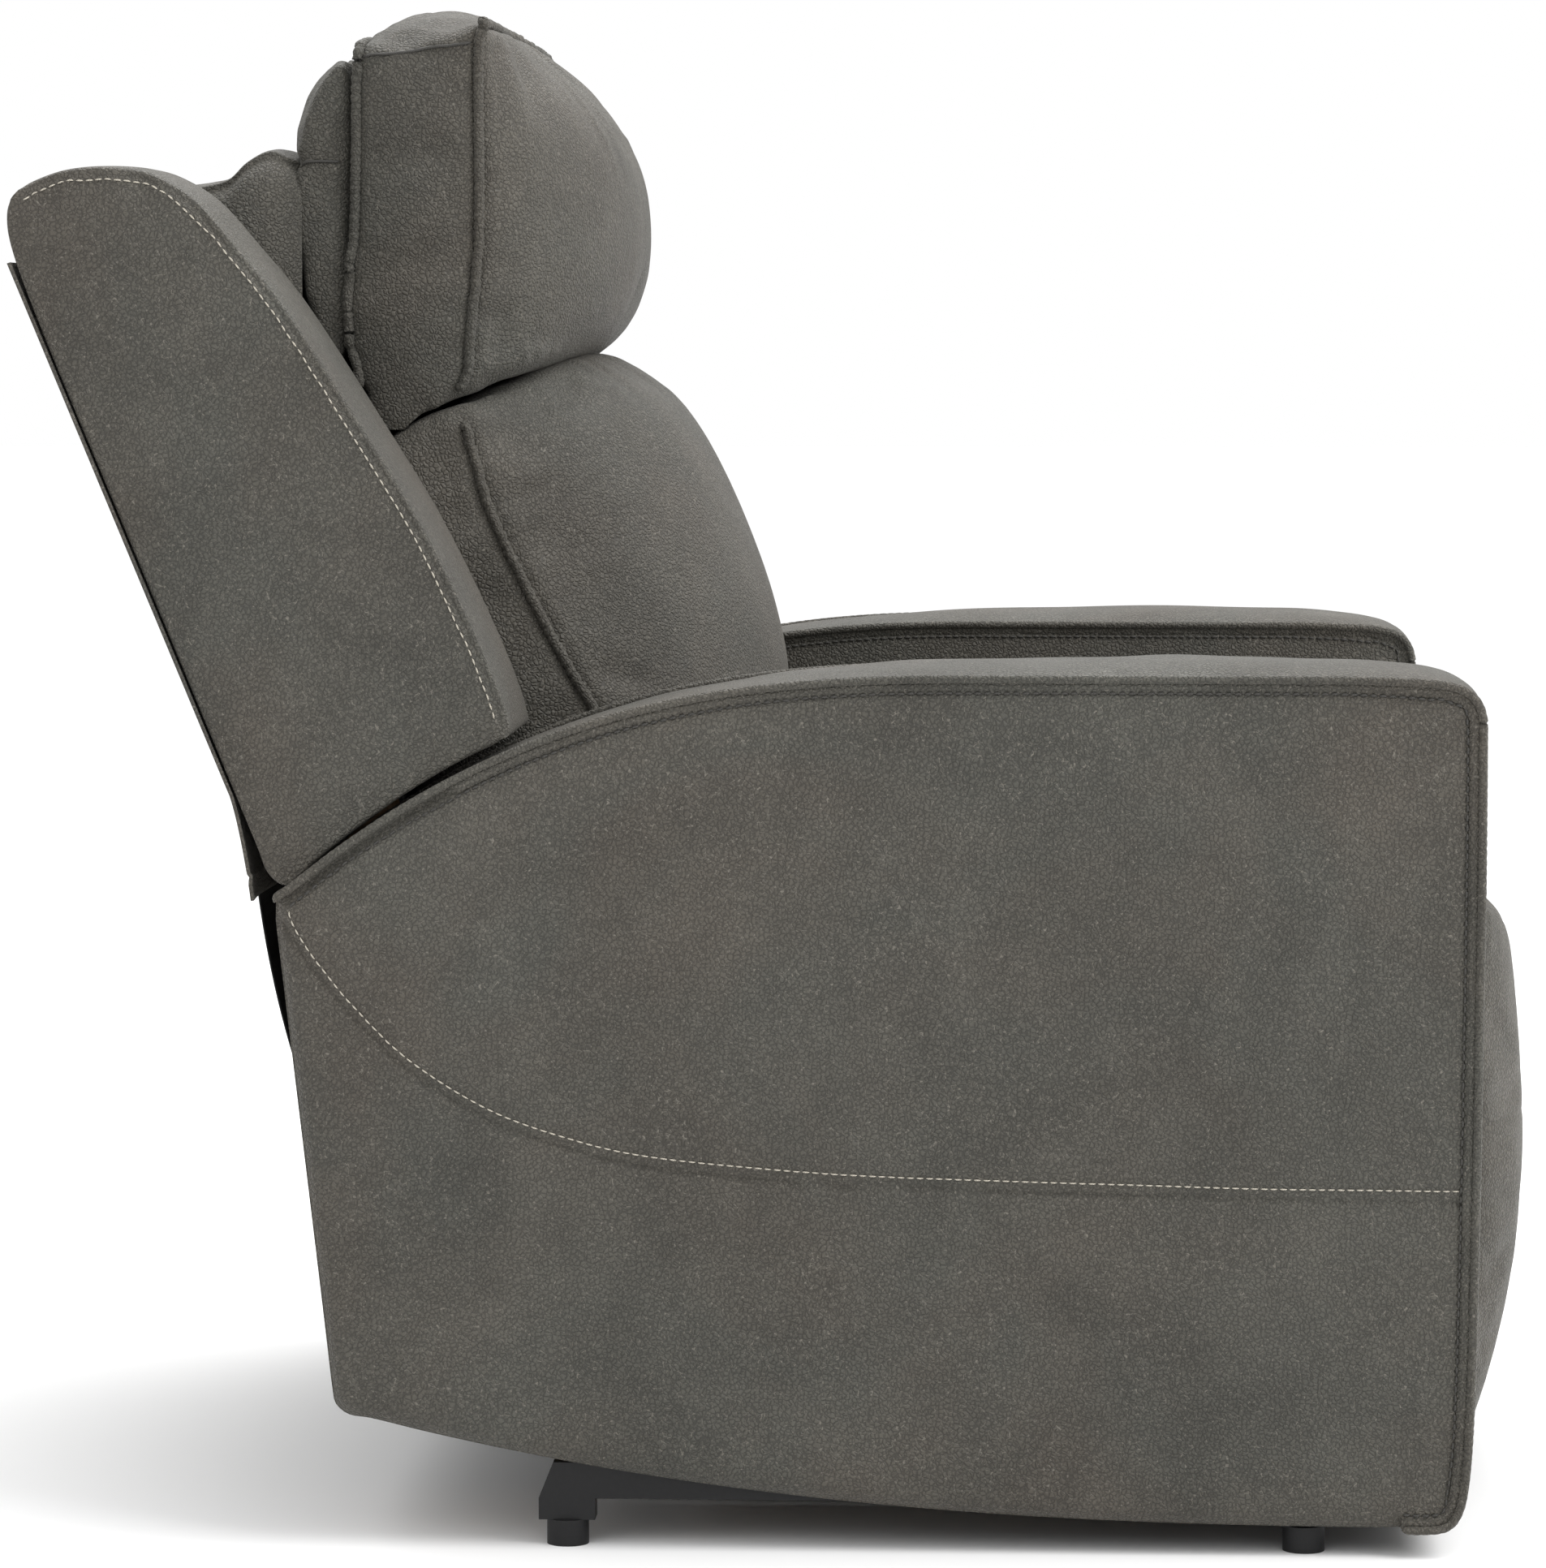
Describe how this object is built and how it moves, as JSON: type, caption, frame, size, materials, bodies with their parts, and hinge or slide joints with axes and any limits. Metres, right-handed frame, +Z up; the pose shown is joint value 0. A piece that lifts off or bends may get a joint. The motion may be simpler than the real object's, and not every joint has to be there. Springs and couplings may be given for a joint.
{
  "type": "recliner armchair",
  "caption": "Power recliner armchair with padded arms, a winged back, a tilting headrest and a fold-out footrest on a linkage.",
  "frame": {"origin": "on the floor, under the centre of the closed chair's bounding box", "axes": "+Z up, -Y towards the front of the chair, -X towards the sitter's right"},
  "size_m": [0.91, 1.0598, 1.0644],
  "materials": {
    "leather_cover": "soft matte faux suede, grey-taupe, fine pebble grain",
    "frame_wood": "raw laminated hardwood",
    "black_steel": "satin black powder coat",
    "black_plastic": "fine textured moulding",
    "button_plastic": "satin moulding",
    "black_cloth": "woven black cloth"
  },
  "bodies": {
    "base": {"right_base_rail": "black_steel", "left_base_rail": "black_steel", "front_cross_tube": "black_steel", "rear_cross_tube": "black_steel", "floor_glides": "black_plastic", "mechanism_rails": "black_steel", "base_rivets": "black_steel", "right_arm_side_panel": "leather_cover", "left_arm_side_panel": "leather_cover", "right_arm_inner_panel": "leather_cover", "left_arm_inner_panel": "leather_cover", "right_arm_front_panel": "leather_cover", "left_arm_front_panel": "leather_cover", "right_arm_top_pad": "leather_cover", "left_arm_top_pad": "leather_cover", "arm_frames": "frame_wood", "rear_cross_rail": "frame_wood", "control_panel": "black_plastic", "control_box": "black_plastic", "power_inlet": "black_plastic"},
    "recline_button_body": {"recline_button": "button_plastic"},
    "return_button_body": {"return_button": "button_plastic"},
    "headrest_up_body": {"headrest_up_button": "button_plastic"},
    "headrest_down_body": {"headrest_down_button": "button_plastic"},
    "seat": {"right_side_plate": "black_steel", "left_side_plate": "black_steel", "seat_cross_tube": "black_steel", "carriage_rivets": "black_steel", "seat_front_rail": "frame_wood", "seat_rear_rail": "frame_wood", "seat_webbing": "black_cloth", "seat_cushion": "leather_cover", "drive_rail": "black_steel", "recline_motor": "black_plastic"},
    "drive_block_body": {"drive_block": "black_plastic"},
    "front_carriers": {"front_carrier_links": "black_steel"},
    "rear_carriers": {"rear_carrier_links": "black_steel"},
    "lower_links": {"footrest_lower_links": "black_steel", "torque_tube": "black_steel", "elbow_rivets": "black_steel"},
    "upper_links": {"footrest_upper_links": "black_steel", "footrest_rivets": "black_steel"},
    "footrest": {"footrest_brackets": "black_steel", "footrest_board": "frame_wood", "footrest_pad": "leather_cover"},
    "back": {"back_hinge_brackets": "black_steel", "back_stiles": "frame_wood", "back_rails": "frame_wood", "back_webbing": "black_cloth", "outside_back": "leather_cover", "right_wing": "leather_cover", "left_wing": "leather_cover", "back_cushion": "leather_cover", "rear_dust_cover": "black_cloth", "headrest_motor": "black_plastic", "headrest_arms": "black_steel"},
    "headrest": {"headrest_frame": "frame_wood", "headrest_cushion": "leather_cover", "headrest_rear_pad": "leather_cover"},
    "headrest_rod_body": {"headrest_rod": "black_steel"}
  },
  "joints": [
    {"name": "seat_slide", "type": "slide", "parent": "base", "child": "seat", "axis": [0, -0.9363, 0.3511], "range_m": [0, 0.04272]},
    {"name": "back_recline", "type": "hinge", "parent": "seat", "child": "back", "pos_m": [0, 0.23367, 0.285], "axis": [-1, 0, 0], "range_deg": [0, 35.01]},
    {"name": "front_carrier_swing", "type": "hinge", "parent": "base", "child": "front_carriers", "pos_m": [0, -0.31633, 0.092], "axis": [1, 0, 0], "range_deg": [0, 13.64]},
    {"name": "rear_carrier_swing", "type": "hinge", "parent": "base", "child": "rear_carriers", "pos_m": [0, 0.05368, 0.092], "axis": [1, 0, 0], "range_deg": [0, 13.64]},
    {"name": "footrest_lower_swing", "type": "hinge", "parent": "seat", "child": "lower_links", "pos_m": [0, -0.3437, 0.248], "axis": [-1, 0, 0], "range_deg": [0, 62.01]},
    {"name": "footrest_upper_swing", "type": "hinge", "parent": "lower_links", "child": "upper_links", "pos_m": [0, -0.42763, 0.068], "axis": [-1, 0, 0], "range_deg": [-124.01, 0]},
    {"name": "footrest_tilt", "type": "hinge", "parent": "upper_links", "child": "footrest", "pos_m": [0, -0.41032, 0.26585], "axis": [-1, 0, 0], "range_deg": [0, 152.01]},
    {"name": "drive_block_slide", "type": "slide", "parent": "seat", "child": "drive_block_body", "axis": [0, -1, 0], "range_m": [0, 0.10216]},
    {"name": "headrest_tilt", "type": "hinge", "parent": "back", "child": "headrest", "pos_m": [0, 0.2938, 0.77973], "axis": [-1, 0, 0], "range_deg": [0, 24]},
    {"name": "headrest_rod_slide", "type": "slide", "parent": "back", "child": "headrest_rod_body", "axis": [0, 0.3811, 0.9245], "range_m": [-0.05061, 0]},
    {"name": "recline_press", "type": "slide", "parent": "base", "child": "recline_button_body", "axis": [-1, 0, 0], "range_m": [0, 0.0015], "stiffness_N_per_m": 400, "springref_m": -0.0005},
    {"name": "return_press", "type": "slide", "parent": "base", "child": "return_button_body", "axis": [-1, 0, 0], "range_m": [0, 0.0015], "stiffness_N_per_m": 400, "springref_m": -0.0005},
    {"name": "headrest_up_press", "type": "slide", "parent": "base", "child": "headrest_up_body", "axis": [-1, 0, 0], "range_m": [0, 0.0015], "stiffness_N_per_m": 400, "springref_m": -0.0005},
    {"name": "headrest_down_press", "type": "slide", "parent": "base", "child": "headrest_down_body", "axis": [-1, 0, 0], "range_m": [0, 0.0015], "stiffness_N_per_m": 400, "springref_m": -0.0005}
  ],
  "couplings": [
    {"joint": "back_recline", "follows": "seat_slide", "rad_per_m": 14.299},
    {"joint": "front_carrier_swing", "follows": "seat_slide", "rad_per_m": 5.5687},
    {"joint": "rear_carrier_swing", "follows": "seat_slide", "rad_per_m": 5.5687},
    {"joint": "footrest_lower_swing", "follows": "seat_slide", "rad_per_m": 25.33},
    {"joint": "footrest_upper_swing", "follows": "seat_slide", "rad_per_m": -50.66},
    {"joint": "footrest_tilt", "follows": "seat_slide", "rad_per_m": 62.1},
    {"joint": "drive_block_slide", "follows": "seat_slide", "ratio": 2.3911},
    {"joint": "headrest_rod_slide", "follows": "headrest_tilt", "m_per_rad": -0.12079}
  ]
}
